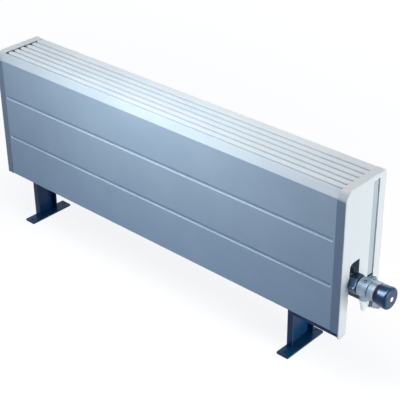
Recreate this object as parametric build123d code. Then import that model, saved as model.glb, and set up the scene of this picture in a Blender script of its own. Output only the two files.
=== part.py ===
from build123d import *
import math
import os

# Freestanding hot-water convector. Millimetres, +X to the right, +Y to the back, +Z up.
# The origin lies on the floor, at the centre of the four holes that fix the feet.

# Overall sizes of the casing and its stand
casing_length = 1000.0
casing_depth = 128.0
casing_height = 312.0
foot_height = 126.0

# Sheet metal of the casing
panel_sheet = 1.25
bend_radius = 2.4
shoulder_bend_radius = 1.9
shoulder_drop = 15.0
shoulder_depth = 10.5
ledge_width = 3.0
return_width = 14.0
return_lip = 8.0
hanger_drop = 36.0
back_panel_rise = 8.0
panel_joint = 0.4

# Pressed grooves in the front panel
groove_heights = (206.0, 104.0)
groove_width = 9.0
groove_depth = 2.6
groove_end_margin = 4.0

# Bar grille
bar_count = 5
slot_width = 4.6
rear_band_width = 21.0
bar_height = 20.0
bar_wall = 1.2
bar_corner = 2.2
bar_end_gap = 2.5
bar_end_radius = 4.5
support_count = 5
support_pitch = 200.0
support_sheet = 2.0
support_height = 15.0

# End caps
cap_width = 20.0
cap_wall = 2.6
cap_proud = 3.0
cap_bend_radius = 16.0
cap_edge_radius = 2.4
cap_corner_radius = 7.0
cap_lip = 8.5
cap_lip_wall = 1.6
cap_lip_margin = 2.0
cap_lip_top_gap = 5.0
cap_lip_stay_gap = 4.0
lip_clearance = 0.15
channel_width = 20.0
channel_depth = 5.0
channel_wall = 1.8
channel_from_rear = 22.0
channel_top_margin = 11.0
strip_thickness = 2.0
strip_clearance = 0.15

# Valve opening in the right cap
front_leg_width = 25.0
front_leg_drop = 14.0
rear_leg_rise = 8.0
leg_corner_radius = 8.0
arch_height = 90.0
return_relief = 3.0
notch_width = 31.0
notch_height = 150.0
notch_corner_radius = 10.0

# Feet
foot_left_inset = 45.0
foot_right_inset = 153.0
foot_sheet = 3.0
base_thickness = 4.0
base_width = 30.0
base_length = 122.0
base_corner_radius = 2.0
upright_front = 29.0
upright_left_rear = 29.0
upright_right_rear = 44.0
upright_flange = 16.0
upright_bend = 3.6
upright_overlap = 46.0
floor_hole_radius = 4.25
floor_hole_spacing = 104.0
floor_hole_offset = 15.0
foot_bolt_radius = 4.0
foot_bolt_clearance = 0.2
foot_bolt_spacing = 28.0
foot_bolt_height = 30.0
bolt_head_across = 13.0
bolt_head_height = 5.3
nut_height = 6.5
bolt_proud = 1.5
hexagon_trim = 0.6

# Strip behind the front panel's lower edge, between the right foot and the cap
stay_sheet = 2.0
stay_drop = 8.0
stay_rise = 26.0
stay_shelf = 12.0
stay_gap = 0.3

# Heating element
tube_radius = 11.0
tube_wall = 1.0
tube_spacing = 50.0
flow_height = 105.0
return_height = 76.0
fin_thickness = 0.6
fin_count = 31
fin_width = 100.0
fin_height = 80.0
fin_corner_radius = 6.0
fin_end_gap = 8.0
tube_fit = 0.05
tube_end_gap = 34.0
header_length = 20.0
header_radius = 17.0
header_wall = 3.0
header_gap = 8.0

# Brackets that carry the element
bracket_sheet = 1.5
bracket_flange = 14.0
bracket_low = 18.0
bracket_shoulder = 88.0
bracket_high = 150.0
bracket_setback = 8.0
grommet_radius = 13.0
grommet_rim = 2.5
grommet_length = 5.5
screw_radius = 1.75
screw_clearance = 0.1
screw_head_radius = 3.6
screw_head_height = 1.6
screw_length = 6.0
cap_screw_margin = 60.0
bracket_screw_margin = 14.0

# Bleed valve and drain plug
vent_radius = 5.0
vent_height = 12.0
vent_screw_radius = 2.6
vent_screw_height = 8.0
vent_collar_height = 5.0
vent_hex_across = 12.0
vent_bore = 1.0
vent_tip_start = 1.2
vent_tip_radius = 1.3
vent_screw_proud = 1.5
vent_slot_half = 0.5
drain_radius = 6.0
drain_across = 13.0
drain_height = 5.0

# Valve set: the places along X are measured from the right cap's outer face
running_fit = 0.05
thread_fit = 0.05
socket_radius = 15.0
socket_length = 24.0
tail_thread_radius = 10.2
tail_radius = 9.0
tail_bore = 7.0
tail_start_gap = 3.0
collar_thickness = 4.0
gasket_thickness = 1.5
union_gap = 1.5
union_wall = 2.5
union_clearance = 0.3

flow_nut_across = 36.0
flow_nut_length = 15.5
flow_spigot_radius = 15.5
flow_body_radius = 19.0
flow_spigot_length = 8.5
flow_body_chamfer = 2.0
flow_shoulder_length = 2.5
flow_body_end = 43.0
flow_neck_radius = 13.0
flow_neck_end = 46.0
flow_seat_x = 21.0
flow_seat_radius = 7.5
flow_chamber_radius = 10.5
flow_inlet_x = 28.2
flow_inlet_radius = 10.5
flow_inlet_drop = 26.0
flow_tail_drop = 52.0
flow_tail_top_radius = 10.5
flow_tail_low_radius = 6.0
flow_tail_bore = 4.0
flow_tail_lip = 1.2
flow_tail_insert = 6.0
disc_lift = 2.5
disc_thickness = 3.0
disc_radius = 9.0
pin_radius = 2.5
insert_hex_across = 22.0
insert_hex_length = 3.0
insert_start_gap = 4.0
insert_relief_depth = 3.0
head_nut_radius = 18.5
head_nut_overlap = 3.0

ring_radius = 19.5
ring_start = 56.5
knob_start = 65.5
knob_end = 88.0
knob_rear_radius = 21.0
knob_radius = 23.0
knob_flare_length = 16.0
knob_wall = 3.5
knob_edge_radius = 5.5
knob_guide_length = 4.0
knob_guide_fit = 0.08
sleeve_radius = 15.5
sleeve_wall = 2.5
sleeve_overlap = 4.0
ring_chamfer = 1.5
knob_gap = 0.3
capsule_radius = 12.0
capsule_length = 16.0
capsule_bevel = 2.0
dot_radius = 4.8
dot_proud = 0.6
dot_depth = 1.5
capsule_gap = 0.3

return_nut_across = 32.0
return_nut_length = 12.0
return_spigot_radius = 13.5
return_body_radius = 14.0
return_body_end = 34.0
return_seat_x = 15.0
return_chamber_end = 30.5
return_spigot_length = 5.0
return_boss_length = 5.0
return_seat_radius = 6.0
return_chamber_radius = 8.5
return_spindle_radius = 4.0
return_disc_radius = 7.0
return_disc_thickness = 2.5
return_cup_radius = 6.0
return_cup_length = 8.0
return_collar_length = 2.0
return_square = 5.0
return_cap_radius = 13.5
return_cap_end = 46.0
return_cap_wall = 2.0
return_cap_round = 3.0
return_cap_gap = 0.3
return_inlet_x = 23.8
return_inlet_radius = 9.8
return_inlet_drop = 30.0
return_socket_drop = 16.0
return_travel = 3.0
pipe_nut_across = 24.0
pipe_nut_start = 23.0
pipe_nut_drop = 41.0
pipe_nut_floor = 8.0
pipe_bore_radius = 7.6
olive_length = 4.0
olive_wall = 1.2
olive_recess = 2.4
olive_slack = 0.4
olive_start = 1.2

# Places worked out from the sizes above
front_y = -casing_depth / 2
rear_y = casing_depth / 2
casing_low = foot_height
casing_top = foot_height + casing_height
foot_pitch = casing_length - foot_left_inset - foot_right_inset
casing_middle_x = (foot_right_inset - foot_left_inset) / 2 - floor_hole_offset
cap_face_x = casing_middle_x + casing_length / 2
cap_inner_x = cap_face_x - cap_width
panel_half = casing_length / 2 - cap_width - panel_joint
foot_left_x = -foot_pitch / 2 - floor_hole_offset
foot_right_x = foot_pitch / 2 - floor_hole_offset
tubes_end_x = cap_inner_x - tube_end_gap
header_start_x = casing_middle_x - casing_length / 2 + header_gap
header_end_x = header_start_x + header_length
header_middle_x = header_start_x + header_length / 2
first_bar_y = front_y + shoulder_depth + ledge_width + slot_width
last_bar_y = rear_y - rear_band_width - slot_width
bar_pitch = (last_bar_y - first_bar_y + slot_width) / bar_count
bar_width = bar_pitch - slot_width
flow_y = -tube_spacing / 2
return_y = tube_spacing / 2
flow_z = casing_low + flow_height
return_z = casing_low + return_height
upright_top = casing_low + upright_overlap
arch_rear_y = rear_y - channel_from_rear
arch_top = casing_low + arch_height
return_boss_end = return_body_end + return_boss_length
collar_x = cap_face_x + union_gap + union_wall
spigot_x = collar_x + collar_thickness + gasket_thickness


def prism_x(face, x_from, x_to):
    """A face drawn in Y and Z, drawn out along X."""
    return extrude(Plane.YZ.offset(x_from) * face, amount=x_to - x_from, dir=(1, 0, 0))


def along_casing(face, half):
    """The same, over an equal length to both sides of the casing's middle."""
    return prism_x(face, casing_middle_x - half, casing_middle_x + half)


def outline(points):
    """A closed face from corner points."""
    return make_face(Polyline(*points, close=True))


def folded(points, radii, thickness, side):
    """The section of a bent sheet, from the corners of its outer surface."""
    path = Wire(FilletPolyline(*points, radius=radii).edges())
    return Face(path.offset_2d(thickness, side=side))


def facing(x, y, z, direction):
    """Puts a turned piece with its axis along the direction and its start at the point."""
    sideways = (1, 0, 0) if direction[1] else (0, 1, 0)
    return Plane(origin=(x, y, z), x_dir=sideways, z_dir=direction).location


def turned(profile):
    """A lathe piece about Z, from pairs of distance along the axis and radius."""
    corners = [(radius, along) for along, radius in profile]
    return revolve(Plane.XZ * outline(corners), Axis.Z)


def ring(start, end, outer, inner):
    """A plain sleeve along Z."""
    return turned([(start, inner), (start, outer), (end, outer), (end, inner)])


def rod(start, end, radius):
    """A plain bar along Z."""
    return turned([(start, 0), (start, radius), (end, radius), (end, 0)])


def hexagon(across, start, end):
    """A six-sided bar along Z with its corners turned off."""
    bar = extrude(Pos(0, 0, start) * RegularPolygon(across / 2, 6, major_radius=False), end - start)
    corner = across / math.sqrt(3)
    trim = (corner - across / 2) * hexagon_trim
    barrel = turned(
        [(start, 0), (start, corner - trim), (start + trim, corner), (end - trim, corner),
         (end, corner - trim), (end, 0)]
    )
    return bar & barrel


def box_between(low, high):
    """A block from its lowest to its highest corner."""
    size = [high[i] - low[i] for i in range(3)]
    middle = [(high[i] + low[i]) / 2 for i in range(3)]
    return Pos(*middle) * Box(*size)


def groove_radius():
    """The arc whose chord is the groove's height and whose rise is its depth."""
    return (groove_width ** 2 / 4 + groove_depth ** 2) / (2 * groove_depth)


def bead(radius, height, reach):
    """A rod with round ends along X, which presses a groove at this height."""
    y = front_y + groove_depth - groove_radius()
    rod_body = along_casing(Pos(y, height) * Circle(radius), reach)
    ends = [Pos(casing_middle_x + side * reach, y, height) * Sphere(radius) for side in (-1, 1)]
    return rod_body + ends[0] + ends[1]


def front_panel():
    section = folded(
        [
            (front_y + return_width, casing_low + return_lip),
            (front_y + return_width, casing_low),
            (front_y, casing_low),
            (front_y, casing_top - shoulder_drop),
            (front_y + shoulder_depth, casing_top),
            (front_y + shoulder_depth + ledge_width, casing_top),
            (front_y + shoulder_depth + ledge_width, casing_top - hanger_drop),
        ],
        [bend_radius] * 3 + [shoulder_bend_radius] * 2,
        panel_sheet,
        Side.RIGHT,
    )
    panel = along_casing(section, panel_half)
    reach = panel_half - groove_end_margin - groove_width / 2
    behind = along_casing(
        Pos(front_y + groove_width / 2, casing_low + casing_height / 2)
        * Rectangle(groove_width, casing_height),
        panel_half,
    )
    for height in groove_heights:
        z = casing_low + height
        panel += bead(groove_radius() + panel_sheet, z, reach) & behind
        panel -= bead(groove_radius(), z, reach)
    return panel - return_notch()


def return_notch():
    """The lower return is cut away at the valve end, where the stay strip takes its place."""
    return box_between(
        (stay_start() - panel_joint, front_y + panel_sheet, casing_low - 1),
        (cap_face_x, front_y + return_width + 1, casing_low + return_lip + 1),
    )


def back_panel():
    low = casing_low + back_panel_rise
    section = folded(
        [
            (rear_y - return_width, low),
            (rear_y, low),
            (rear_y, casing_top),
            (rear_y - rear_band_width, casing_top),
            (rear_y - rear_band_width, casing_top - hanger_drop),
        ],
        [bend_radius, bend_radius, bend_radius],
        panel_sheet,
        Side.LEFT,
    )
    panel = along_casing(section, panel_half)
    for x, z in cap_screw_places() + bracket_screw_places():
        panel -= rear_hole(x, z)
    return panel


def bar_places():
    """The front edge of each grille bar."""
    return [first_bar_y + i * bar_pitch for i in range(bar_count)]


def grille_bars():
    """The long bars; their ends are rounded in plan."""
    reach = casing_length / 2 - cap_width - bar_end_gap
    low, high = casing_top - bar_height - 1, casing_top + 1
    bars = []
    for y in bar_places():
        section = folded(
            [
                (y, casing_top - bar_height),
                (y, casing_top),
                (y + bar_width, casing_top),
                (y + bar_width, casing_top - bar_height),
            ],
            [bar_corner, bar_corner],
            bar_wall,
            Side.RIGHT,
        )
        plan = box_between(
            (casing_middle_x - reach, y, low), (casing_middle_x + reach, y + bar_width, high)
        )
        plan = fillet(plan.edges().filter_by(Axis.Z), bar_end_radius)
        bars.append(along_casing(section, reach) & plan)
    return Compound(children=bars)


def grille_supports():
    top = casing_top - bar_height
    low = (front_y + shoulder_depth + ledge_width, top - support_height)
    high = (rear_y - rear_band_width, top)
    strips = []
    for i in range(support_count):
        x = casing_middle_x + (i - (support_count - 1) / 2) * support_pitch
        strips.append(
            box_between((x - support_sheet / 2, *low), (x + support_sheet / 2, *high))
        )
    return Compound(children=strips)


def cap_outline(low):
    """The cap's outer profile in Y and Z, and the radii of its bends."""
    top = casing_top + cap_proud
    corners = [
        (front_y, low),
        (front_y, casing_top - shoulder_drop),
        (front_y + shoulder_depth, top),
        (rear_y, top),
        (rear_y, low),
    ]
    return corners, [cap_bend_radius, cap_bend_radius, cap_corner_radius]


def end_cap_shell(low):
    """A tray that closes the right end, open towards the casing and at the bottom."""
    corners, radii = cap_outline(low)
    path = FilletPolyline(*corners, radius=radii)
    side = make_face(path.edges() + [Edge.make_line(corners[-1], corners[0])])
    body = prism_x(side, cap_inner_x, cap_face_x)
    rim = [
        e for e in body.faces().sort_by(Axis.X)[-1].edges() if e.center().Z > low + 1
    ]
    body = fillet(rim, cap_edge_radius)
    wall = folded(corners, radii, cap_wall, Side.RIGHT)
    hollow = prism_x(side, cap_inner_x - 1, cap_face_x - cap_wall)
    return body - (hollow - prism_x(wall, cap_inner_x, cap_face_x))


def channel_box(grow, low):
    """The recessed channel's space, or with a wall added round it."""
    rear = rear_y - channel_from_rear
    return box_between(
        (cap_face_x - channel_depth - grow, rear - channel_width - grow, low),
        (cap_face_x + 1, rear + grow, casing_top + cap_proud - channel_top_margin + grow),
    )


def side_strip(low):
    """A flat strip on the floor of the channel."""
    rear = rear_y - channel_from_rear
    floor = cap_face_x - channel_depth
    return box_between(
        (floor, rear - channel_width + strip_clearance, low + 1),
        (
            floor + strip_thickness,
            rear - strip_clearance,
            casing_top + cap_proud - channel_top_margin - strip_clearance,
        ),
    )


def cap_lips(low):
    """Tongues that reach behind the two panels and steady their ends."""
    clear = panel_sheet + lip_clearance
    x_from, x_to = cap_inner_x - cap_lip, cap_inner_x + 1
    front = box_between(
        (x_from, front_y + clear, low),
        (x_to, front_y + clear + cap_lip_wall, casing_top - shoulder_drop - cap_lip_top_gap),
    )
    for height in groove_heights:
        z = casing_low + height
        front -= box_between(
            (x_from - 1, front_y, z - groove_width), (x_to + 1, 0, z + groove_width)
        )
    rear = box_between(
        (x_from, rear_y - clear - cap_lip_wall, casing_low + back_panel_rise + return_lip),
        (x_to, rear_y - clear, casing_top - hanger_drop / 2),
    )
    for x, z in cap_screw_places():
        if x > 0:
            rear -= rear_hole(x, z)
    return front, rear


def end_cap(low):
    """The shell with the recessed channel that runs down its side."""
    shell = end_cap_shell(low)
    inside = box_between((cap_inner_x, front_y, low), (cap_face_x, rear_y, casing_top + cap_proud))
    shell += channel_box(channel_wall, low - 1) & inside
    return shell - channel_box(0, low - 1)


def end_cap_left():
    cap = end_cap(casing_low)
    for lip in cap_lips(casing_low + return_lip + cap_lip_margin):
        cap += lip
    return mirror(cap, Plane.YZ.offset(casing_middle_x))


def valve_opening():
    """The arch between the cap's two legs, with the raised notch for the flow valve."""
    leg_y = front_y + front_leg_width
    low = casing_low - 2 * front_leg_drop
    arch = outline(
        [
            (leg_y, low),
            (leg_y, casing_low + notch_height),
            (leg_y + notch_width, casing_low + notch_height),
            (leg_y + notch_width, arch_top),
            (arch_rear_y, arch_top),
            (arch_rear_y, low),
        ]
    )
    high = arch.vertices().sort_by(Axis.X)[:2].sort_by(Axis.Y)[-1]
    arch = fillet(high, notch_corner_radius)
    opening = prism_x(arch, cap_inner_x - 1, cap_face_x + 1)
    return opening + facing(cap_inner_x - 1, return_y, return_z, (1, 0, 0)) * rod(
        0, cap_width + 2, tail_radius + return_relief
    )


def end_cap_right():
    low = casing_low - front_leg_drop
    cap = end_cap(low)
    x_plate = cap_face_x - cap_wall
    cap -= box_between(
        (cap_inner_x - 1, front_y - 1, low - 1), (x_plate, rear_y + 1, casing_low)
    )
    cap -= valve_opening()
    cap -= box_between(
        (cap_inner_x - 1, arch_rear_y - 1, low - 1),
        (cap_face_x + 1, rear_y + 1, casing_low + rear_leg_rise),
    )
    front_lip, rear_lip = cap_lips(casing_low + stay_rise + cap_lip_stay_gap)
    cap += front_lip
    cap += rear_lip
    cap -= box_between(
        (cap_inner_x - cap_lip - 1, front_y + panel_sheet, low - 1),
        (x_plate, front_y + 2 * cap_wall, casing_low + stay_rise + stay_gap),
    )
    return cap - leg_corners(low)


def leg_corners(low):
    """What is cut off the front leg to round its foot."""
    leg_y = front_y + front_leg_width
    tall = 2 * leg_corner_radius + cap_width
    leg = Pos((front_y + leg_y) / 2, low + tall / 2) * RectangleRounded(
        front_leg_width, tall, leg_corner_radius
    )
    return box_between(
        (cap_inner_x, front_y - 1, low - 1), (cap_face_x + 1, leg_y + 1, low + leg_corner_radius)
    ) - prism_x(leg, cap_inner_x - 1, cap_face_x + 2)


def stay_start():
    """The strip begins where the right foot's base ends."""
    return foot_right_x + base_width


def lower_stay():
    """Dark angle strip behind the front panel, a little deeper than the panel's edge."""
    y = front_y + panel_sheet
    section = folded(
        [
            (y, casing_low - stay_drop),
            (y, casing_low + stay_rise),
            (y + stay_shelf, casing_low + stay_rise),
        ],
        [bend_radius],
        stay_sheet,
        Side.RIGHT,
    )
    return prism_x(section, stay_start(), cap_face_x - cap_wall - stay_gap)


def rear_hole(x, z):
    """A screw hole through the back panel and what lies behind it."""
    radius = screw_radius + screw_clearance
    return facing(x, rear_y + 1, z, (0, -1, 0)) * rod(0, screw_length + 2, radius)


def cap_screw_places():
    heights = (casing_low + cap_screw_margin, casing_top - cap_screw_margin)
    reach = casing_length / 2 - cap_width - cap_lip / 2
    return [(casing_middle_x + side * reach, z) for side in (-1, 1) for z in heights]


def bracket_flange_x(foot_x):
    return foot_x - bracket_sheet - bracket_flange / 2


def bracket_screw_places():
    heights = (
        casing_low + bracket_low + bracket_screw_margin,
        casing_low + bracket_high - bracket_screw_margin,
    )
    return [(bracket_flange_x(x), z) for x in (foot_left_x, foot_right_x) for z in heights]


def screws(places):
    """Pan-head sheet screws, driven from behind."""
    solids = []
    for x, z in places:
        body = turned(
            [
                (-screw_head_height, 0),
                (-screw_head_height, screw_head_radius / 2),
                (-screw_head_height / 2, screw_head_radius),
                (0, screw_head_radius),
                (0, screw_radius),
                (screw_length - 1, screw_radius),
                (screw_length, screw_radius / 2),
                (screw_length, 0),
            ]
        )
        solids.append(facing(x, rear_y, z, (0, -1, 0)) * body)
    return Compound(children=solids)


def foot(x, rear):
    """A bent channel upright, which reaches back to rear, welded to a flat base."""
    channel = folded(
        [
            (x + upright_flange, -upright_front),
            (x, -upright_front),
            (x, rear),
            (x + upright_flange, rear),
        ],
        [upright_bend, upright_bend],
        foot_sheet,
        Side.RIGHT,
    )
    upright = extrude(Pos(0, 0, base_thickness) * channel, upright_top - base_thickness, dir=(0, 0, 1))
    base = box_between((x, -base_length / 2, 0), (x + base_width, base_length / 2, base_thickness))
    base = fillet(base.edges().filter_by(Axis.Z), base_corner_radius)
    body = base + upright
    for side in (-1, 1):
        y = side * floor_hole_spacing / 2
        body -= Pos(x + floor_hole_offset, y, 0) * rod(-1, base_thickness + 1, floor_hole_radius)
    for y in foot_bolt_places():
        body -= bolt_hole(x, y)
    return body


def foot_bolt_places():
    return [-foot_bolt_spacing / 2, foot_bolt_spacing / 2]


def bolt_hole(x, y):
    radius = foot_bolt_radius + foot_bolt_clearance
    place = facing(x - bracket_sheet - 1, y, casing_low + foot_bolt_height, (1, 0, 0))
    return place * rod(0, bracket_sheet + foot_sheet + 2, radius)


def foot_bolts():
    solids = []
    grip = bracket_sheet + foot_sheet
    for x in (foot_left_x, foot_right_x):
        for y in foot_bolt_places():
            head = hexagon(bolt_head_across, -bolt_head_height, 0)
            body = head + rod(0, grip + nut_height + bolt_proud, foot_bolt_radius)
            solids.append(
                facing(x - bracket_sheet, y, casing_low + foot_bolt_height, (1, 0, 0)) * body
            )
    return Compound(children=solids)


def foot_nuts():
    solids = []
    for x in (foot_left_x, foot_right_x):
        for y in foot_bolt_places():
            body = hexagon(bolt_head_across, 0, nut_height) - rod(
                -1, nut_height + 1, foot_bolt_radius + thread_fit
            )
            solids.append(
                facing(x + foot_sheet, y, casing_low + foot_bolt_height, (1, 0, 0)) * body
            )
    return Compound(children=solids)


def tube_places():
    return [(flow_y, flow_z), (return_y, return_z)]


def element_bracket(x):
    """A plate across the casing that carries both tubes and is screwed to the back panel."""
    front = front_y + panel_sheet
    rear = rear_y - panel_sheet
    low, shoulder = casing_low + bracket_low, casing_low + bracket_shoulder
    high = casing_low + bracket_high
    plate = prism_x(
        outline(
            [
                (front, low),
                (front, shoulder),
                (front + bracket_setback, shoulder + bracket_setback),
                (front + bracket_setback, high),
                (rear, high),
                (rear, low),
            ]
        ),
        x - bracket_sheet,
        x,
    )
    for y, z in tube_places():
        hole = rod(0, 2 * bracket_flange, grommet_radius)
        plate -= facing(x - bracket_flange, y, z, (1, 0, 0)) * hole
    flange_x = x - bracket_sheet - bracket_flange
    plate += box_between((flange_x, front, low), (x, front + bracket_sheet, shoulder))
    plate += box_between((flange_x, rear - bracket_sheet, low), (x, rear, high))
    for y in foot_bolt_places():
        plate -= bolt_hole(x, y)
    for screw_x, z in bracket_screw_places():
        if abs(screw_x - bracket_flange_x(x)) < 1:
            plate -= rear_hole(screw_x, z)
    return plate


def tube_grommets():
    """Rubber rings with a groove that grips the bracket's plate."""
    solids = []
    inner = tube_radius + tube_fit
    outer = grommet_radius + grommet_rim
    half = grommet_length / 2
    plate = bracket_sheet / 2
    for x in (foot_left_x, foot_right_x):
        for y, z in tube_places():
            body = turned(
                [
                    (-half, inner), (-half, outer - 1), (-half + 1, outer), (-plate, outer),
                    (-plate, grommet_radius), (plate, grommet_radius), (plate, outer),
                    (half - 1, outer), (half, outer - 1), (half, inner),
                ]
            )
            solids.append(facing(x - bracket_sheet / 2, y, z, (1, 0, 0)) * body)
    return Compound(children=solids)


def fin_places():
    start = foot_left_x + upright_flange + fin_end_gap
    end = foot_right_x - bracket_sheet - bracket_flange - fin_end_gap
    pitch = (end - start - fin_thickness) / (fin_count - 1)
    return [start + i * pitch for i in range(fin_count)]


def fins():
    middle_z = (flow_z + return_z) / 2
    plate = RectangleRounded(fin_width, fin_height, fin_corner_radius)
    for y, z in tube_places():
        plate -= Pos(y, z - middle_z) * Circle(tube_radius + tube_fit)
    fin = Pos(0, 0, middle_z) * extrude(Plane.YZ * plate, fin_thickness, dir=(1, 0, 0))
    return Compound(children=[Pos(x, 0, 0) * fin for x in fin_places()])


def tube(y, z):
    start = header_end_x - header_wall
    return facing(start, y, z, (1, 0, 0)) * ring(
        0, tubes_end_x - start, tube_radius, tube_radius - tube_wall
    )


def header_section(radius):
    """A rounded block round the two tubes' axes."""
    line = Edge.make_line((flow_y, flow_z), (return_y, return_z))
    return SlotCenterToCenter(line.length, 2 * radius, rotation=math.degrees(
        math.atan2(return_z - flow_z, return_y - flow_y)
    ))


def left_header():
    """The closed block that leads the water from one tube into the other."""
    middle = Pos((flow_y + return_y) / 2, (flow_z + return_z) / 2)
    inner = header_radius - header_wall
    body = prism_x(middle * header_section(header_radius), header_start_x, header_end_x)
    body -= prism_x(
        middle * header_section(inner), header_start_x + header_wall, header_end_x - header_wall
    )
    for y, z in tube_places():
        body -= facing(header_end_x - header_wall - 1, y, z, (1, 0, 0)) * rod(
            0, header_wall + 2, tube_radius + tube_fit
        )
    body -= Pos(header_middle_x, flow_y, flow_z) * rod(
        0, header_radius + header_wall, vent_radius + thread_fit
    )
    body -= Pos(header_middle_x, return_y, return_z) * rod(
        -header_radius - header_wall, 0, drain_radius + thread_fit
    )
    return body


def vent_place():
    return Pos(header_middle_x, flow_y, flow_z + header_radius)


def vent_body():
    body = hexagon(vent_hex_across, 0, vent_collar_height)
    body += turned(
        [
            (-header_wall, 0), (-header_wall, vent_radius), (vent_height, vent_radius),
            (vent_height, 0),
        ]
    )
    body -= rod(vent_height - vent_screw_height, vent_height + 1, vent_screw_radius + running_fit)
    body -= rod(-header_wall - 1, vent_height, vent_bore)
    return vent_place() * body


def vent_screw():
    """A screw with a cone at its tip and a slot across its head."""
    top = vent_height + vent_screw_proud
    tip = vent_height - vent_screw_height + vent_tip_start
    body = turned(
        [
            (tip, 0), (tip, vent_tip_radius), (tip + vent_tip_start, vent_screw_radius),
            (top, vent_screw_radius), (top, 0),
        ]
    )
    reach = vent_screw_radius + 1
    slot = box_between(
        (-reach, -vent_slot_half, top - vent_tip_start), (reach, vent_slot_half, top + 1)
    )
    return vent_place() * (body - slot)


def drain_plug():
    body = hexagon(drain_across, 0, drain_height)
    body += rod(-header_wall, 0, drain_radius)
    return facing(header_middle_x, return_y, return_z - header_radius, (0, 0, -1)) * body


def connector(y, z):
    """A socket brazed on a tube's end, threaded inside for the valve's tailpiece."""
    start = tubes_end_x - socket_length / 2
    body = turned(
        [
            (0, tube_radius + tube_fit), (0, socket_radius - 1), (1, socket_radius),
            (socket_length - 1, socket_radius), (socket_length, socket_radius - 1),
            (socket_length, tail_thread_radius + thread_fit),
            (socket_length / 2 + 2, tail_thread_radius + thread_fit),
            (socket_length / 2 + 2, tube_radius - tube_wall),
            (socket_length / 2, tube_radius - tube_wall),
            (socket_length / 2, tube_radius + tube_fit),
        ]
    )
    return facing(start, y, z, (1, 0, 0)) * body


def tailpiece(y, z, collar_radius):
    """The threaded tail that the union nut draws against the valve."""
    start = tubes_end_x + tail_start_gap
    collar = collar_x - start
    thread_end = socket_length / 2 - tail_start_gap
    body = turned(
        [
            (0, tail_bore), (0, tail_thread_radius), (thread_end, tail_thread_radius),
            (thread_end, tail_radius), (collar, tail_radius), (collar, collar_radius),
            (collar + collar_thickness, collar_radius), (collar + collar_thickness, tail_bore),
        ]
    )
    return facing(start, y, z, (1, 0, 0)) * body


def union_nut(y, z, across, length, spigot_radius):
    start = cap_face_x + union_gap
    body = hexagon(across, 0, length)
    body -= rod(-1, length + 1, tail_radius + union_clearance)
    body -= rod(union_wall, length + 1, spigot_radius + thread_fit)
    return facing(start, y, z, (1, 0, 0)) * body


def gasket(y, z, outer):
    return facing(collar_x + collar_thickness, y, z, (1, 0, 0)) * ring(
        0, gasket_thickness, outer, tail_bore
    )


def flow_place():
    """The flow valve's own zero: on its axis, level with the right cap's outer face."""
    return facing(cap_face_x, flow_y, flow_z, (1, 0, 0))


def flow_valve_body():
    start = spigot_x - cap_face_x
    shoulder = start + flow_spigot_length
    body = turned(
        [
            (start, 0), (start, flow_spigot_radius), (shoulder, flow_spigot_radius),
            (shoulder, flow_body_radius - flow_body_chamfer),
            (shoulder + flow_body_chamfer, flow_body_radius),
            (flow_body_end - flow_shoulder_length, flow_body_radius),
            (flow_body_end, flow_neck_radius + 1), (flow_body_end, flow_neck_radius),
            (flow_neck_end, flow_neck_radius), (flow_neck_end, 0),
        ]
    )
    body = flow_place() * body
    inlet = facing(cap_face_x + flow_inlet_x, flow_y, flow_z, (0, 0, -1))
    body += inlet * rod(0, flow_inlet_drop, flow_inlet_radius)
    body -= flow_place() * rod(start - 1, flow_seat_x + 1, flow_seat_radius)
    body -= flow_place() * rod(flow_seat_x, flow_neck_end + 1, flow_chamber_radius)
    body -= inlet * rod(0, flow_inlet_drop + 1, flow_seat_radius)
    return body


def flow_insert():
    """The gland that screws into the body and guides the pin."""
    start = disc_start() + disc_thickness + insert_start_gap
    end = flow_neck_end + insert_hex_length
    body = turned(
        [
            (start, 0), (start, flow_chamber_radius - thread_fit),
            (flow_neck_end, flow_chamber_radius - thread_fit), (flow_neck_end, 0),
        ]
    )
    body += hexagon(insert_hex_across, flow_neck_end, end)
    body -= rod(start - 1, end + 1, pin_radius + running_fit)
    body -= inlet_relief(start)
    return flow_place() * body


def inlet_relief(start):
    """Room round the pin so that water reaches the disc."""
    depth = insert_relief_depth
    return ring(start - 1, start + depth, flow_chamber_radius + 1, flow_chamber_radius - depth)


def disc_start():
    return flow_seat_x + disc_lift


def valve_disc():
    body = rod(disc_start(), disc_start() + disc_thickness, disc_radius)
    return flow_place() * body


def valve_pin():
    start = disc_start() + disc_thickness
    return flow_place() * rod(start, capsule_start(), pin_radius)


def capsule_start():
    return knob_end - knob_wall - capsule_gap - capsule_length


def head_nut():
    """The plain ring nut that holds the head on the body's neck."""
    start = flow_neck_end - head_nut_overlap
    body = ring(start, ring_start, head_nut_radius, flow_neck_radius + thread_fit)
    return flow_place() * body


def head_base():
    """The fixed dark ring and the sleeve on which the knob turns."""
    guide = knob_rear_radius - knob_wall - knob_guide_fit
    sleeve_end = capsule_start() + sleeve_overlap
    body = turned(
        [
            (ring_start, sleeve_radius - sleeve_wall), (ring_start, ring_radius - ring_chamfer),
            (ring_start + ring_chamfer, ring_radius), (knob_start - knob_gap, ring_radius),
            (knob_start - knob_gap, guide), (knob_start + knob_guide_length, guide),
            (knob_start + knob_guide_length, sleeve_radius), (sleeve_end, sleeve_radius),
            (sleeve_end, sleeve_radius - sleeve_wall),
        ]
    )
    return flow_place() * body


def head_capsule():
    start = capsule_start()
    body = turned(
        [
            (start, 0), (start, capsule_radius - capsule_bevel),
            (start + capsule_bevel, capsule_radius),
            (start + capsule_length, capsule_radius), (start + capsule_length, 0),
        ]
    )
    return flow_place() * body


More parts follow.
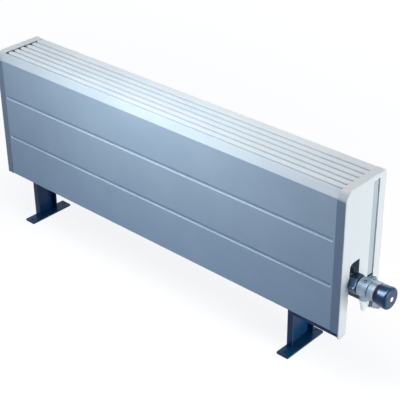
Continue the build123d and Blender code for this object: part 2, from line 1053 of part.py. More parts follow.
def head_knob():
    """The cup that is turned by hand; it widens a little towards its front edge."""
    bore = knob_rear_radius - knob_wall
    body = turned(
        [
            (knob_start, bore), (knob_start, knob_rear_radius),
            (knob_start + knob_flare_length, knob_radius), (knob_end, knob_radius),
            (knob_end, 0), (knob_end - knob_wall, 0), (knob_end - knob_wall, bore),
        ]
    )
    rim = body.edges().filter_by(GeomType.CIRCLE).sort_by(Axis.Z)[-1]
    body = fillet(rim, knob_edge_radius)
    body -= rod(knob_end - dot_depth, knob_end + 1, dot_radius + thread_fit)
    return flow_place() * body


def knob_cap():
    """The small white disc in the middle of the knob."""
    body = turned(
        [
            (knob_end - dot_depth, 0), (knob_end - dot_depth, dot_radius),
            (knob_end, dot_radius), (knob_end + dot_proud, dot_radius - dot_proud),
            (knob_end + dot_proud, 0),
        ]
    )
    return flow_place() * body


def flow_tail():
    """The tapered pipe tail under the flow valve."""
    top, low = flow_inlet_drop, flow_tail_drop
    socket = top - flow_tail_insert
    body = turned(
        [
            (socket, flow_tail_bore), (socket, flow_seat_radius - thread_fit),
            (top, flow_seat_radius - thread_fit), (top, flow_tail_top_radius),
            (low - flow_tail_lip, flow_tail_low_radius),
            (low, flow_tail_low_radius - flow_tail_lip), (low, flow_tail_bore),
        ]
    )
    return facing(cap_face_x + flow_inlet_x, flow_y, flow_z, (0, 0, -1)) * body


def return_place():
    return facing(cap_face_x, return_y, return_z, (1, 0, 0))


def return_drop_place():
    return facing(cap_face_x + return_inlet_x, return_y, return_z, (0, 0, -1))


def return_valve_body():
    start = spigot_x - cap_face_x
    boss = return_cap_radius - return_cap_wall - running_fit
    body = turned(
        [
            (start, 0), (start, return_spigot_radius),
            (start + return_spigot_length, return_spigot_radius),
            (start + return_spigot_length, return_body_radius),
            (return_body_end - 2, return_body_radius), (return_body_end, return_body_radius - 2),
            (return_body_end, boss), (return_boss_end, boss), (return_boss_end, 0),
        ]
    )
    body = return_place() * body
    body += return_drop_place() * rod(0, return_inlet_drop, return_inlet_radius)
    body -= return_place() * rod(start - 1, return_seat_x + 1, return_seat_radius)
    body -= return_place() * rod(return_seat_x, return_chamber_end, return_chamber_radius)
    body -= return_place() * rod(
        return_seat_x, return_boss_end + 1, return_spindle_radius + running_fit
    )
    return body - return_drop_place() * return_socket()


def return_socket():
    """The way from the chamber down to the pipe, with a cone at its mouth for the olive."""
    mouth = return_inlet_drop
    cone = pipe_bore_radius + olive_wall + olive_slack
    return turned(
        [
            (0, 0), (0, return_seat_radius), (return_socket_drop, return_seat_radius),
            (return_socket_drop, pipe_bore_radius), (mouth - olive_recess, pipe_bore_radius),
            (mouth, cone), (mouth + 1, cone), (mouth + 1, 0),
        ]
    )


def return_disc():
    """A cup that runs along the spindle's thread; its closed end shuts the seat."""
    start = return_seat_x + return_travel
    floor, end = start + return_disc_thickness, start + return_cup_length
    bore = return_spindle_radius + running_fit
    body = turned(
        [
            (start, 0), (start, return_disc_radius), (floor, return_disc_radius),
            (floor, return_cup_radius), (end, return_cup_radius), (end, bore), (floor, bore),
            (floor, 0),
        ]
    )
    return return_place() * body


def return_spindle():
    """Threaded inside the cup, held by a collar, and turned by a square in the cap."""
    start = return_seat_x + return_travel + return_disc_thickness + return_cap_gap
    collar_end = return_chamber_end - return_cap_gap
    body = rod(start, return_boss_end, return_spindle_radius)
    body += rod(collar_end - return_collar_length, collar_end, return_cup_radius)
    end = return_cap_end - return_cap_wall
    square = extrude(Rectangle(return_square, return_square), end - return_boss_end)
    return return_place() * (body + Pos(0, 0, return_boss_end) * square)


def return_cap():
    """The cap that turns the spindle by hand, with a rounded end."""
    inner = return_cap_radius - return_cap_wall
    start = return_body_end + return_cap_gap
    floor = return_cap_end - return_cap_wall
    body = turned(
        [
            (start, inner), (start, return_cap_radius), (return_cap_end, return_cap_radius),
            (return_cap_end, 0), (floor, 0), (floor, inner),
        ]
    )
    rim = body.edges().filter_by(GeomType.CIRCLE).sort_by(Axis.Z)[-1]
    return return_place() * fillet(rim, return_cap_round)


def return_pipe_nut():
    """The nut that draws the olive and the pipe into the valve."""
    floor = pipe_nut_drop - pipe_nut_floor
    body = hexagon(pipe_nut_across, pipe_nut_start, pipe_nut_drop)
    body -= rod(pipe_nut_start - 1, floor, return_inlet_radius + thread_fit)
    body -= rod(floor - 1, pipe_nut_drop + 1, pipe_bore_radius)
    return return_drop_place() * body


def pipe_olive():
    """The brass ring that the nut squeezes on the pipe."""
    start = return_inlet_drop - olive_recess + olive_start
    middle, end = start + olive_length / 2, start + olive_length
    outer = pipe_bore_radius + olive_wall
    body = turned(
        [
            (start, pipe_bore_radius), (start, pipe_bore_radius + olive_slack),
            (middle - olive_slack, outer), (middle + olive_slack, outer),
            (end, pipe_bore_radius + olive_slack), (end, pipe_bore_radius),
        ]
    )
    return return_drop_place() * body


os.makedirs("parts", exist_ok=True)

sub_parts = {
    "front_panel": front_panel(),
    "back_panel": back_panel(),
    "grille_bars": grille_bars(),
    "grille_supports": grille_supports(),
    "end_cap_left": end_cap_left(),
    "end_cap_right": end_cap_right(),
    "side_strip_left": mirror(side_strip(casing_low), Plane.YZ.offset(casing_middle_x)),
    "side_strip_right": side_strip(arch_top),
    "lower_stay": lower_stay(),
    "foot_left": foot(foot_left_x, upright_left_rear),
    "foot_right": foot(foot_right_x, upright_right_rear),
    "foot_bolts": foot_bolts(),
    "foot_nuts": foot_nuts(),
    "element_bracket_left": element_bracket(foot_left_x),
    "element_bracket_right": element_bracket(foot_right_x),
    "cap_screws": screws(cap_screw_places()),
    "bracket_screws": screws(bracket_screw_places()),
    "tube_grommets": tube_grommets(),
    "fins": fins(),
    "flow_tube": tube(flow_y, flow_z),
    "return_tube": tube(return_y, return_z),
    "left_header": left_header(),
    "vent_body": vent_body(),
    "vent_screw": vent_screw(),
    "drain_plug": drain_plug(),
    "flow_connector": connector(flow_y, flow_z),
    "return_connector": connector(return_y, return_z),
    "flow_tailpiece": tailpiece(flow_y, flow_z, flow_spigot_radius),
    "flow_union_nut": union_nut(flow_y, flow_z, flow_nut_across, flow_nut_length, flow_spigot_radius),
    "flow_gasket": gasket(flow_y, flow_z, flow_spigot_radius),
    "flow_valve_body": flow_valve_body(),
    "flow_insert": flow_insert(),
    "valve_pin": valve_pin(),
    "valve_disc": valve_disc(),
    "head_nut": head_nut(),
    "head_base": head_base(),
    "head_capsule": head_capsule(),
    "head_knob": head_knob(),
    "knob_cap": knob_cap(),
    "flow_tail": flow_tail(),
    "return_tailpiece": tailpiece(return_y, return_z, return_spigot_radius),
    "return_union_nut": union_nut(
        return_y, return_z, return_nut_across, return_nut_length, return_spigot_radius
    ),
    "return_gasket": gasket(return_y, return_z, return_spigot_radius),
    "return_valve_body": return_valve_body(),
    "return_spindle": return_spindle(),
    "return_disc": return_disc(),
    "return_cap": return_cap(),
    "return_pipe_nut": return_pipe_nut(),
    "pipe_olive": pipe_olive(),
}

for name, shape in sub_parts.items():
    export_step(shape, "parts/" + name + ".step")
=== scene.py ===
import math
import bmesh
import bpy
from mathutils import Matrix, Vector


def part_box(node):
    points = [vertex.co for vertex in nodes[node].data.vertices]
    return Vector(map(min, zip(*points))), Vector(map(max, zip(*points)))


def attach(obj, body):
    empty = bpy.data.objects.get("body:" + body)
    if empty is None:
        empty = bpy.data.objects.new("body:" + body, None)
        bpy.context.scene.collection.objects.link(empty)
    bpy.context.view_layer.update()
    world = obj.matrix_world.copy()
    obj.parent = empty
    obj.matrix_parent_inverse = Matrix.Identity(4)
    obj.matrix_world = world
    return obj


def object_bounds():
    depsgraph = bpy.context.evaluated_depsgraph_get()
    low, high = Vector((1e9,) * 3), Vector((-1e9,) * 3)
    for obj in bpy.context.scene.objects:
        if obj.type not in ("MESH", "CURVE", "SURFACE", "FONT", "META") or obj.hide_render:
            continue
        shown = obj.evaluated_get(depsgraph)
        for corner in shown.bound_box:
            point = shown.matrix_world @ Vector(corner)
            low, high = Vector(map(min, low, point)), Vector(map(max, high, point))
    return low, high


# A low white convector on two dark navy feet, with its valve set at the right-hand end.
# Sizes of pieces are in millimetres, times mm. The floor and the lamps are in metres.
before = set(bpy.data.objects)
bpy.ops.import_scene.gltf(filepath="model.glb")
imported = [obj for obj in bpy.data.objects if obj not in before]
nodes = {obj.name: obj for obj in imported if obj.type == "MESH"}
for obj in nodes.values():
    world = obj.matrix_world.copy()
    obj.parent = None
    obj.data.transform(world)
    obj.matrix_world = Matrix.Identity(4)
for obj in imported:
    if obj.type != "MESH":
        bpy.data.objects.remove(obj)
cad_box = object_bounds()
mm = 0.001


# Materials

def linear(colour):
    """An sRGB hex colour as the linear colour that a shader takes."""
    parts = [int(colour[i:i + 2], 16) / 255 for i in (1, 3, 5)]
    return [c / 12.92 if c < 0.04045 else ((c + 0.055) / 1.055) ** 2.4 for c in parts] + [1.0]


def add(tree, kind, settings=None, links=None):
    """Adds a node, with its own settings or socket values, and the outputs that feed it."""
    node = tree.nodes.new(kind)
    for key, value in (settings or {}).items():
        if isinstance(key, int) or key in node.inputs:
            node.inputs[key].default_value = value
        else:
            setattr(node, key, value)
    for key, source in (links or {}).items():
        tree.links.new(source, node.inputs[key])
    return node


def finish(name, sockets):
    """A named material whose shader has these constants on its own sockets."""
    material = bpy.data.materials.new(name)
    material.use_nodes = True
    shader = material.node_tree.nodes["Principled BSDF"]
    for key, value in sockets.items():
        shader.inputs[key].default_value = value
    return material, material.node_tree, shader


def noise(tree, width, detail=2.0, stretch=(1, 1, 1)):
    """Soft random patches on Object coordinates, of a width in mm. A small stretch draws them
    out along that axis."""
    place = add(tree, "ShaderNodeTexCoord")
    scaled = add(tree, "ShaderNodeMapping", {"Scale": stretch}, {"Vector": place.outputs["Object"]})
    patches = add(tree, "ShaderNodeTexNoise", {"Scale": 1 / (width * mm), "Detail": detail},
                  {"Vector": scaled.outputs["Vector"]})
    return patches.outputs["Fac"]


def relief(tree, shader, pattern, depth):
    """Turns a pattern into a fine unevenness of that depth in mm."""
    bump = add(tree, "ShaderNodeBump", {"Strength": 1.0, "Distance": depth * mm},
               {"Height": pattern})
    tree.links.new(bump.outputs["Normal"], shader.inputs["Normal"])


def two_tones(tree, shader, pattern, low, high, start=0.35, end=0.65):
    """Colours the surface between two near shades along a pattern."""
    ramp = add(tree, "ShaderNodeValToRGB", {}, {"Fac": pattern})
    ramp.color_ramp.elements[0].position = start
    ramp.color_ramp.elements[0].color = linear(low)
    ramp.color_ramp.elements[1].position = end
    ramp.color_ramp.elements[1].color = linear(high)
    tree.links.new(ramp.outputs["Color"], shader.inputs["Base Color"])


def gloss_between(tree, shader, pattern, low, high):
    """Lets the roughness wander between two values along a pattern."""
    spread = add(tree, "ShaderNodeMapRange",
                 {"From Min": 0.3, "From Max": 0.7, "To Min": low, "To Max": high},
                 {"Value": pattern})
    tree.links.new(spread.outputs["Result"], shader.inputs["Roughness"])


def powder_coat():
    """Powder coat on sheet steel: semi-gloss, with the fine orange peel of a baked powder."""
    material, tree, shader = finish("powder_coated_steel", {"IOR": 1.5, "Specular IOR Level": 0.3})
    peel = noise(tree, 2.2, 1.0)
    relief(tree, shader, peel, 0.03)
    two_tones(tree, shader, noise(tree, 90.0), "#D6E1E7", "#DCE6EB")
    gloss_between(tree, shader, noise(tree, 40.0), 0.44, 0.52)
    return material


def cap_plastic():
    """Moulded ABS: a spark-eroded tool leaves an even grain and a satin sheen. The grain is
    drawn a few times coarser than it is, to show at all. The narrow front return is painted
    a darker grey-blue: painted shade, for the shadow that falls on that face."""
    material, tree, shader = finish("moulded_abs", {"IOR": 1.53, "Specular IOR Level": 0.35})
    relief(tree, shader, noise(tree, 0.9, 3.0), 0.025)
    # Faces in front of this limit, the front return, get the darker grey-blue: painted shade.
    painted_shade_limit = cad_box[0][1] + 0.3 * mm
    place = add(tree, "ShaderNodeTexCoord")
    parts = add(tree, "ShaderNodeSeparateXYZ", {}, {"Vector": place.outputs["Object"]})
    front = add(tree, "ShaderNodeMath", {"operation": "LESS_THAN", 1: painted_shade_limit},
                {0: parts.outputs["Y"]})
    two_tones(tree, shader, front.outputs["Value"], "#D5DDE1", "#9FADB9", 0.45, 0.55)
    gloss_between(tree, shader, noise(tree, 25.0), 0.42, 0.5)
    return material


def strip_plastic():
    """Extruded PVC strip: matt, with faint lines along its length. Its soft grey is painted shade,
    for the shadow down in the cap's side recess where it sits.
    """
    material, tree, shader = finish("pvc_with_painted_shade", {"IOR": 1.53})
    lines = noise(tree, 1.5, 2.0, (1, 1, 0.02))
    two_tones(tree, shader, lines, "#A9B5BD", "#B3BEC5")
    relief(tree, shader, lines, 0.02)
    gloss_between(tree, shader, lines, 0.5, 0.6)
    return material


def navy_enamel():
    """Stoved navy enamel on bent steel: deep, satin, slightly wavy."""
    material, tree, shader = finish("stoved_navy_enamel", {"IOR": 1.5, "Specular IOR Level": 0.2})
    relief(tree, shader, noise(tree, 6.0), 0.05)
    two_tones(tree, shader, noise(tree, 30.0), "#07385E", "#0B426A")
    gloss_between(tree, shader, noise(tree, 18.0), 0.3, 0.42)
    return material


def zinc_plate():
    """Zinc-plated sheet steel: dull silver with the soft cloudy patches of plating."""
    material, tree, shader = finish("zinc_plated_steel", {"Metallic": 1.0})
    two_tones(tree, shader, noise(tree, 8.0, 4.0), "#A4A8AC", "#BCC0C3")
    gloss_between(tree, shader, noise(tree, 4.0), 0.32, 0.5)
    return material


def rolled_aluminium():
    """Thin rolled aluminium: bright, with streaks along the rolling direction, drawn coarser
    than they are, to show between the bars."""
    material, tree, shader = finish("rolled_aluminium", {"Metallic": 1.0})
    streaks = noise(tree, 1.2, 3.0, (1, 1, 0.05))
    two_tones(tree, shader, streaks, "#C2C6C9", "#D6D9DB")
    gloss_between(tree, shader, streaks, 0.24, 0.4)
    relief(tree, shader, streaks, 0.01)
    return material


def drawn_copper():
    """Drawn copper tube: warm, with darker oxide patches and faint lengthwise lines, drawn
    coarser than they are."""
    material, tree, shader = finish("drawn_copper", {"Metallic": 1.0})
    two_tones(tree, shader, noise(tree, 14.0, 4.0), "#8E5A40", "#C07A58")
    gloss_between(tree, shader, noise(tree, 1.5, 2.0, (0.05, 1, 1)), 0.28, 0.45)
    return material


def turned_brass():
    """Turned brass: yellow metal with the tool's rings, drawn coarser than their real feed of
    about 0.2 mm."""
    material, tree, shader = finish("turned_brass", {"Metallic": 1.0})
    rings = noise(tree, 0.8, 2.0, (1, 0.2, 0.2))
    two_tones(tree, shader, noise(tree, 9.0), "#A78648", "#C8A661")
    gloss_between(tree, shader, rings, 0.26, 0.42)
    relief(tree, shader, rings, 0.01)
    return material


def satin_nickel():
    """Nickel over forged brass: cool grey, satin, with the forging's faint unevenness."""
    material, tree, shader = finish("satin_nickel_plate", {"Metallic": 1.0})
    two_tones(tree, shader, noise(tree, 10.0, 3.0), "#7F91A4", "#97A8B8")
    gloss_between(tree, shader, noise(tree, 3.0), 0.3, 0.42)
    relief(tree, shader, noise(tree, 2.5), 0.03)
    return material


def nickel_with_painted_shade():
    """Nickel over turned brass: its dark blue-grey is painted shade, for the shadow and the dark
    reflections inside the valve's cut-out, on a mirror softened by the blank's grain.
    """
    material, tree, shader = finish("nickel_plate_with_painted_shade", {"Metallic": 1.0})
    two_tones(tree, shader, noise(tree, 8.0, 3.0), "#3A4960", "#48586F")
    gloss_between(tree, shader, noise(tree, 3.0), 0.28, 0.4)
    return material


def black_rubber():
    """Moulded EPDM rubber: matt black, dusty in its pores."""
    material, tree, shader = finish("epdm_rubber", {"IOR": 1.5})
    two_tones(tree, shader, noise(tree, 2.0, 4.0), "#141414", "#222223")
    gloss_between(tree, shader, noise(tree, 1.0), 0.6, 0.75)
    return material


def navy_knob():
    """Satin ABS in navy blue: it mirrors the lamps as a broad soft sheen with a cool tint."""
    material, tree, shader = finish("satin_navy_abs", {
        "IOR": 1.53, "Specular IOR Level": 0.5, "Specular Tint": linear("#9CCEFF")})
    two_tones(tree, shader, noise(tree, 12.0), "#0B2749", "#0F2F57")
    gloss_between(tree, shader, noise(tree, 1.5), 0.24, 0.3)
    return material


def wine_ring():
    """The ring behind the knob: the same plastic in a wine red. Its very dark tone is partly
    painted shade, for the shadow in the hollow between the valve body and the knob.
    """
    material, tree, shader = finish("wine_abs_with_painted_shade", {"IOR": 1.53, "Specular IOR Level": 0.25})
    two_tones(tree, shader, noise(tree, 6.0), "#28083A", "#340D48")
    gloss_between(tree, shader, noise(tree, 1.5), 0.28, 0.36)
    return material


def white_dot():
    """Moulded white ABS with a low gloss."""
    material, tree, shader = finish("white_abs", {"IOR": 1.53})
    two_tones(tree, shader, noise(tree, 5.0), "#FAFBFC", "#FFFFFF")
    gloss_between(tree, shader, noise(tree, 1.0), 0.25, 0.32)
    return material


def pale_polyamide():
    """Natural moulded polyamide: milky and satin, and light from behind shows through it."""
    material, tree, shader = finish("natural_polyamide", {"IOR": 1.53, "Transmission Weight": 0.65})
    two_tones(tree, shader, noise(tree, 6.0), "#F8FCFC", "#FFFFFF")
    gloss_between(tree, shader, noise(tree, 1.2), 0.36, 0.46)
    return material


def black_oxide_and_recess_shade():
    """Oxide-black steel for the small socket screw. On the sheet screws' driver recesses the same
    dark colour is painted shade, for the shadow inside them.
    """
    material, tree, shader = finish("oxide_black_steel_and_recess_shade", {"Metallic": 1.0})
    two_tones(tree, shader, noise(tree, 1.0), "#1C2026", "#2C3138")
    gloss_between(tree, shader, noise(tree, 0.6), 0.4, 0.55)
    return material


finishes = {
    "powder": powder_coat(), "abs": cap_plastic(), "navy": navy_enamel(), "zinc": zinc_plate(),
    "fin": rolled_aluminium(), "copper": drawn_copper(), "brass": turned_brass(),
    "nickel": satin_nickel(), "rubber": black_rubber(), "knob": navy_knob(), "wine": wine_ring(),
    "white": white_dot(), "pale": pale_polyamide(), "recess": black_oxide_and_recess_shade(),
    "strip": strip_plastic(), "nickel_with_painted_shade": nickel_with_painted_shade(),
}

dressed = {
    "powder": ["front_panel", "back_panel", "grille_bars"],
    "abs": ["end_cap_left", "end_cap_right"],
    "navy": ["foot_left", "foot_right", "lower_stay", "element_bracket_left",
             "element_bracket_right"],
    # The side strips' soft grey is painted shade for the recess they sit in.
    "strip": ["side_strip_left", "side_strip_right"],
    "zinc": ["grille_supports", "foot_bolts", "foot_nuts", "cap_screws", "bracket_screws"],
    "fin": ["fins"],
    "copper": ["flow_tube", "return_tube"],
    "brass": ["left_header", "vent_body", "vent_screw", "drain_plug", "flow_connector",
              "return_connector", "flow_insert", "return_spindle", "pipe_olive", "return_disc",
              "valve_disc"],
    "nickel": ["flow_valve_body", "flow_tailpiece", "return_valve_body", "return_tailpiece",
               "return_union_nut", "return_pipe_nut", "return_cap", "head_nut", "valve_pin",
               "head_capsule"],
    # The union nut's dark blue-grey is painted shade and painted reflection of the cut-out's dark
    # inside.
    "nickel_with_painted_shade": ["flow_union_nut"],
    "rubber": ["tube_grommets", "flow_gasket", "return_gasket"],
    "knob": ["head_knob"],
    # The ring's very dark tone is partly painted shade of the hollow behind the knob.
    "wine": ["head_base"],
    "white": ["knob_cap"],
    "pale": ["flow_tail"],
}


def coat(piece, name):
    """Gives a piece one finish on all its faces."""
    piece.data.materials.clear()
    piece.data.materials.append(finishes[name])


for name, names in dressed.items():
    for node in names:
        coat(nodes[node], name)


# New pieces

def corners(node):
    """The lowest and the highest corner of a CAD piece's box."""
    return [Vector(corner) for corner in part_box(node)]


def middle_of(node):
    """The middle of a CAD piece's box."""
    low, high = corners(node)
    return (low + high) / 2


def top_edges(edges):
    """Those of a shape's edges that lie above the origin."""
    return [edge for edge in edges if min(vert.co.z for vert in edge.verts) > 0]


def round_off(bm, edges, radius, segments):
    """Rounds edges, and gives what that made."""
    return bmesh.ops.bevel(bm, geom=edges, offset=radius, offset_type="OFFSET",
                           segments=segments, profile=0.5, affect="EDGES", material=-1)


def piece_from(bm, name, body, coating, smooth=False):
    """Ends a mesh as one piece at the origin that rides on a body."""
    bmesh.ops.remove_doubles(bm, verts=bm.verts, dist=0.001 * mm)
    bmesh.ops.recalc_face_normals(bm, faces=bm.faces)
    for face in bm.faces:
        face.smooth = smooth
    mesh = bpy.data.meshes.new(name)
    bm.to_mesh(mesh)
    bm.free()
    piece = bpy.data.objects.new(name, mesh)
    bpy.context.scene.collection.objects.link(piece)
    coat(piece, coating)
    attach(piece, body)


def plate_edge(bm, width, height, corner):
    """A rounded plate's edge, flat round the origin."""
    made = bmesh.ops.create_grid(bm, x_segments=1, y_segments=1, size=0.5)
    bmesh.ops.scale(bm, vec=(width, height, 1), verts=made["verts"])
    bmesh.ops.bevel(bm, geom=made["verts"], offset=corner, offset_type="OFFSET", segments=3,
                    profile=0.5, affect="VERTICES", material=-1)
    bmesh.ops.delete(bm, geom=list(bm.faces), context="FACES_ONLY")


def extra_fins():
    """The element's fin pack is denser than the plates that the CAD carries: two thin plates
    stand in each space between them, with the same outline and the same two tube holes."""
    cad_plates, cad_sheet = 31, 0.6 * mm
    sheet, corner, hole_radius = 0.4 * mm, 6 * mm, 11.2 * mm
    low, high = corners("fins")
    centre = middle_of("fins")
    bm = bmesh.new()
    plate_edge(bm, high.y - low.y, high.z - low.z, corner)
    for tube in ("flow_tube", "return_tube"):
        place = middle_of(tube) - centre
        bmesh.ops.create_circle(bm, segments=16, radius=hole_radius,
                                matrix=Matrix.Translation((place.y, place.z, 0)))
    bmesh.ops.triangle_fill(bm, edges=bm.edges, use_beauty=True, use_dissolve=False)
    bmesh.ops.solidify(bm, geom=bm.faces, thickness=sheet)
    upright = Matrix(((0, 0, 1), (1, 0, 0), (0, 1, 0))).to_4x4()
    bmesh.ops.transform(bm, matrix=upright, verts=bm.verts)
    first = list(bm.verts) + list(bm.edges) + list(bm.faces)
    pitch = (high.x - low.x - cad_sheet) / (cad_plates - 1)
    for i in range(cad_plates - 1):
        for share in (1 / 3, 2 / 3):
            copy = bmesh.ops.duplicate(bm, geom=first)["geom"]
            x = low.x + (i + share) * pitch
            bmesh.ops.translate(bm, vec=(x, centre.y, centre.z),
                                verts=[v for v in copy if isinstance(v, bmesh.types.BMVert)])
    bmesh.ops.delete(bm, geom=[v for v in first if isinstance(v, bmesh.types.BMVert)],
                     context="VERTS")
    piece_from(bm, "fin_pack_infill", "casing", "fin")


def weld_seam(side):
    """A hand-laid weld along the upright's outer corner on its base, as overlapping drops."""
    drop_radius, pitch, half_length = 1.9 * mm, 2.4 * mm, 21.5 * mm
    inset, base_top = 3.4 * mm, 4 * mm
    sway, sway_step = 0.15 * mm, 2.1
    low, _ = corners("foot_" + side)
    bm = bmesh.new()
    for i in range(int(2 * half_length / pitch) + 1):
        made = bmesh.ops.create_icosphere(bm, subdivisions=1, radius=drop_radius)
        bmesh.ops.scale(bm, vec=(0.85, 1, 0.75), verts=made["verts"])
        x = low.x + inset + sway * math.sin(i * sway_step)
        bmesh.ops.translate(bm, vec=(x, -half_length + i * pitch, base_top), verts=made["verts"])
    piece_from(bm, "foot_weld_" + side, "casing", "navy", smooth=True)


def driver_crosses():
    """The cross recess in each sheet screw's head, as a shallow dark inlay: painted shade,
    standing in for the shadow inside the recess. Its arms are multiples of a cube of 1 mm."""
    head_radius = 3.6 * mm
    arm_length, arm_width, inlay = 3.0, 0.7, 0.2
    sunk = 0.095 * mm
    bm = bmesh.new()
    for node in ("cap_screws", "bracket_screws"):
        low, high = corners(node)
        for x in (low.x + head_radius, high.x - head_radius):
            for z in (low.z + head_radius, high.z - head_radius):
                for arm in ((arm_length, inlay, arm_width), (arm_width, inlay, arm_length)):
                    made = bmesh.ops.create_cube(bm, size=mm)
                    bmesh.ops.scale(bm, vec=arm, verts=made["verts"])
                    bmesh.ops.translate(bm, vec=(x, high.y - sunk, z), verts=made["verts"])
    # These dark inlays are painted shade for the screws' driver recesses.
    piece_from(bm, "screw_recess_shade", "casing", "recess")


def lock_screw():
    """The small socket screw on top of the flow valve's body, a little round to its front."""
    radius, height, rounding = 3.4 * mm, 1.4 * mm, 0.4 * mm
    socket_wall, socket_depth = 1.1 * mm, 0.9 * mm
    body_radius, sunk, along = 19 * mm, 0.1 * mm, 22 * mm
    lean = math.radians(18)
    low, _ = corners("flow_valve_body")
    axis = middle_of("head_knob")
    bm = bmesh.new()
    bmesh.ops.create_cone(bm, cap_ends=True, segments=24, radius1=radius, radius2=radius,
                          depth=height)
    round_off(bm, top_edges(bm.edges), rounding, 2)
    top = max(bm.faces, key=lambda face: face.calc_center_median().z)
    bmesh.ops.inset_region(bm, faces=[top], thickness=socket_wall)
    bmesh.ops.translate(bm, vec=(0, 0, -socket_depth), verts=top.verts)
    bmesh.ops.translate(bm, vec=(0, 0, body_radius - sunk), verts=bm.verts)
    bmesh.ops.rotate(bm, matrix=Matrix.Rotation(lean, 3, "X"), verts=bm.verts)
    bmesh.ops.translate(bm, vec=(low.x + along, axis.y, axis.z), verts=bm.verts)
    piece_from(bm, "valve_lock_screw", "casing", "recess")


def dial_mark(name, node, body, radius, along, lean):
    """A white ridge moulded along a round piece, to the back of its top. The knob's ridge is
    read against the fixed ring's, and the photo's camera sees neither at rest. Its length,
    width and height are multiples of a cube of 1 mm."""
    length, width, height = 6, 1.4, 0.9
    rounding = 0.25 * mm
    round_to_back = math.radians(55)
    low, _ = corners(node)
    centre = middle_of(node)
    bm = bmesh.new()
    bmesh.ops.create_cube(bm, size=mm)
    bmesh.ops.scale(bm, vec=(length, width, height), verts=bm.verts)
    round_off(bm, top_edges(bm.edges), rounding, 2)
    bmesh.ops.rotate(bm, matrix=Matrix.Rotation(-lean, 3, "Y"), verts=bm.verts)
    bmesh.ops.translate(bm, vec=(0, 0, radius), verts=bm.verts)
    bmesh.ops.rotate(bm, matrix=Matrix.Rotation(-round_to_back, 3, "X"), verts=bm.verts)
    bmesh.ops.translate(bm, vec=(low.x + along, centre.y, centre.z), verts=bm.verts)
    piece_from(bm, name, body, "white")


def floor_hole_plugs():
    """Soft plugs in the four floor holes, set a little below the bases' upper faces."""
    radius, height, rounding = 4.2 * mm, 2.4 * mm, 0.5 * mm
    inset, half_spacing, centre_height = 15 * mm, 52 * mm, 2 * mm
    bm = bmesh.new()
    for side in ("left", "right"):
        low, _ = corners("foot_" + side)
        for y in (-half_spacing, half_spacing):
            made = bmesh.ops.create_cone(bm, cap_ends=True, segments=24, radius1=radius,
                                         radius2=radius, depth=height)
            edges = dict.fromkeys(edge for vert in made["verts"] for edge in vert.link_edges)
            rounded = round_off(bm, top_edges(edges), rounding, 3)
            plug = dict.fromkeys(made["verts"] + rounded["verts"])
            bmesh.ops.translate(bm, vec=(low.x + inset, y, centre_height),
                                verts=[vert for vert in plug if vert.is_valid])
    piece_from(bm, "floor_hole_plugs", "casing", "rubber")


extra_fins()
for side in ("left", "right"):
    weld_seam(side)
driver_crosses()
lock_screw()

# The knob widens by 2 mm over the 16 mm of its flare, and the ring is straight.
knob_flare = math.atan(2 / 16)
dial_mark("knob_index", "head_knob", "knob", 21.5 * mm, 4 * mm, knob_flare)
dial_mark("ring_mark", "head_base", "casing", 19.4 * mm, 5 * mm, 0)
floor_hole_plugs()


# Floor, light and camera

def pale_to_the_eye(tree, plain, seen):
    """Shows one shader to the camera, mirrors and glass, and the other to soft light."""
    path = add(tree, "ShaderNodeLightPath")
    either = add(tree, "ShaderNodeMath", {"operation": "MAXIMUM"},
                 {0: path.outputs["Is Camera Ray"], 1: path.outputs["Is Glossy Ray"]})
    all_three = add(tree, "ShaderNodeMath", {"operation": "MAXIMUM"},
                    {0: either.outputs["Value"], 1: path.outputs["Is Transmission Ray"]})
    return add(tree, "ShaderNodeMixShader", {},
               {"Fac": all_three.outputs["Value"], 1: plain, 2: seen})


def floor():
    """A pale floor: white to the eye, with the object's soft shadow left on it, and a cool
    grey to the light, so that it doesn't brighten the undersides."""
    half_width, near, far = 12, 0.6, 2.4
    bm = bmesh.new()
    bmesh.ops.create_grid(bm, x_segments=1, y_segments=1, size=half_width)
    mesh = bpy.data.meshes.new("floor")
    bm.to_mesh(mesh)
    bm.free()
    piece = bpy.data.objects.new("floor", mesh)
    bpy.context.scene.collection.objects.link(piece)
    material = bpy.data.materials.new("pale_floor")
    material.use_nodes = True
    tree = material.node_tree
    tree.nodes.clear()
    grey = add(tree, "ShaderNodeBsdfDiffuse", {"Color": linear("#41688F")})
    shadowed = add(tree, "ShaderNodeBsdfDiffuse", {"Color": linear("#808080")})
    place = add(tree, "ShaderNodeTexCoord")
    reach = add(tree, "ShaderNodeVectorMath", {"operation": "LENGTH"},
                {0: place.outputs["Object"]})
    fade = add(tree, "ShaderNodeMapRange",
               {"From Min": near, "From Max": far, "To Min": 0.86, "To Max": 0.985},
               {"Value": reach.outputs["Value"]})
    glow = add(tree, "ShaderNodeEmission", {"Color": linear("#FFFFFF")},
               {"Strength": fade.outputs["Result"]})
    seen = add(tree, "ShaderNodeAddShader", {},
               {0: shadowed.outputs["BSDF"], 1: glow.outputs["Emission"]})
    mix = pale_to_the_eye(tree, grey.outputs["BSDF"], seen.outputs["Shader"])
    add(tree, "ShaderNodeOutputMaterial", {}, {"Surface": mix.outputs["Shader"]})
    mesh.materials.append(material)


def room():
    """A white room to the eye, and a dim cool one to the surfaces."""
    world = bpy.data.worlds.new("studio")
    bpy.context.scene.world = world
    world.use_nodes = True
    tree = world.node_tree
    tree.nodes.clear()
    dim = add(tree, "ShaderNodeBackground", {"Color": linear("#58A2F0"), "Strength": 0.23})
    white = add(tree, "ShaderNodeBackground", {"Color": linear("#FFFFFF"), "Strength": 1.0})
    mix = pale_to_the_eye(tree, dim.outputs["Background"], white.outputs["Background"])
    add(tree, "ShaderNodeOutputWorld", {}, {"Surface": mix.outputs["Shader"]})


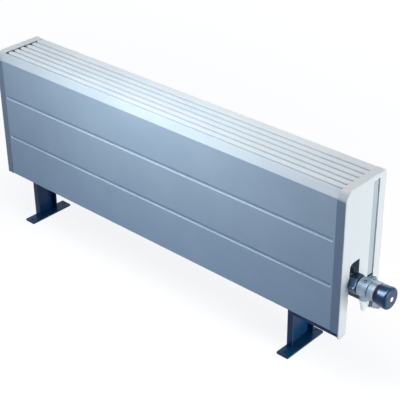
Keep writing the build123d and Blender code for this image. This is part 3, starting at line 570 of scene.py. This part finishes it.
def softbox(name, place, aim, size, power, colour, only=(), soft=True):
    """A square soft lamp that faces a point. It lights all pieces or only some, and shows on
    them as soft light and sheen or, with soft off, as sheen alone."""
    lamp = bpy.data.lights.new(name, "AREA")
    lamp.shape = "RECTANGLE"
    lamp.size, lamp.size_y = size
    lamp.energy = power
    lamp.color = linear(colour)[:3]
    holder = bpy.data.objects.new(name, lamp)
    away = Vector(place) - Vector(aim)
    turn = away.to_track_quat("Z", "Y").to_matrix().to_4x4()
    holder.matrix_world = Matrix.Translation(place) @ turn
    holder.visible_camera = False
    holder.visible_diffuse = soft
    bpy.context.scene.collection.objects.link(holder)
    if only:
        lit = bpy.data.collections.new(name + "_lights")
        for node in only:
            lit.objects.link(nodes[node])
        holder.light_linking.receiver_collection = lit


def photo_camera():
    """Stands at the photograph's viewpoint, which was fitted to its long edges."""
    azimuth, elevation, roll = (math.radians(a) for a in (42.865, 30.295, -0.738))
    target, distance = Vector((119.65, 0, 238.54)) * mm, 2405.55 * mm
    focal_pixels, picture_pixels, sensor_width = 1124.81, 400, 36
    away = Vector((math.sin(azimuth) * math.cos(elevation),
                   -math.cos(azimuth) * math.cos(elevation), math.sin(elevation)))
    level = (-away).cross(Vector((0, 0, 1))).normalized()
    upright = level.cross(-away)
    right = math.cos(roll) * level + math.sin(roll) * upright
    up = math.cos(roll) * upright - math.sin(roll) * level
    lens = bpy.data.cameras.new("photo_camera")
    lens.sensor_width = sensor_width
    lens.lens = focal_pixels / picture_pixels * sensor_width
    lens.clip_end = 50
    camera = bpy.data.objects.new("photo_camera", lens)
    turn = Matrix((right, up, away)).transposed().to_4x4()
    camera.matrix_world = Matrix.Translation(target + away * distance) @ turn
    bpy.context.scene.collection.objects.link(camera)
    bpy.context.scene.camera = camera


floor()
room()
softbox("top_lamp", (0.02, -0.2, 1.7), (0.05, 0, 0.43), (1.1, 0.7), 13.3, "#FFE5C2")
softbox("side_lamp", (1.74, 0.2, 0.38), (0.54, 0, 0.22), (1.0, 0.7), 18.2, "#FFFAEE")
softbox("front_lamp", (-0.04, -0.42, 0.78), (-0.02, -0.04, 0.31), (0.7, 0.3), 1.9, "#CDE8FA")
softbox("knob_lamp", (0.04, -0.34, 0.8), (0.12, -0.04, 0.33), (0.18, 0.34), 0.9, "#E2F0FC")

# Three near lamps light one piece each, for the sheens that the photo shows there.
knob, nut, tail = (middle_of(node) for node in ("head_knob", "flow_union_nut", "flow_tail"))
near = 0.5
knob_sheen = Vector((-0.64, -0.22, 0.7)).normalized() * near
nut_sheen = Vector((-0.66, -0.35, 0.66)).normalized() * near
tail_light = Vector((0.3, -0.9, 0.3)).normalized() * near
softbox("sheen_lamp", knob + knob_sheen, knob, (0.5, 0.5), 21, "#FFE4D0", ["head_knob"], False)
softbox("nut_lamp", knob + nut_sheen, nut, (0.4, 0.4), 34, "#F2F6FF", ["flow_union_nut"], False)
softbox("tail_lamp", tail + tail_light, tail, (0.3, 0.3), 2.5, "#F4FFF8", ["flow_tail"])

softbox("back_lamp", (-0.2, 2.2, 1.1), (0, 0.06, 0.3), (1.6, 1.0), 8, "#DCE8FF")
photo_camera()
bpy.context.scene.view_settings.view_transform = "Standard"
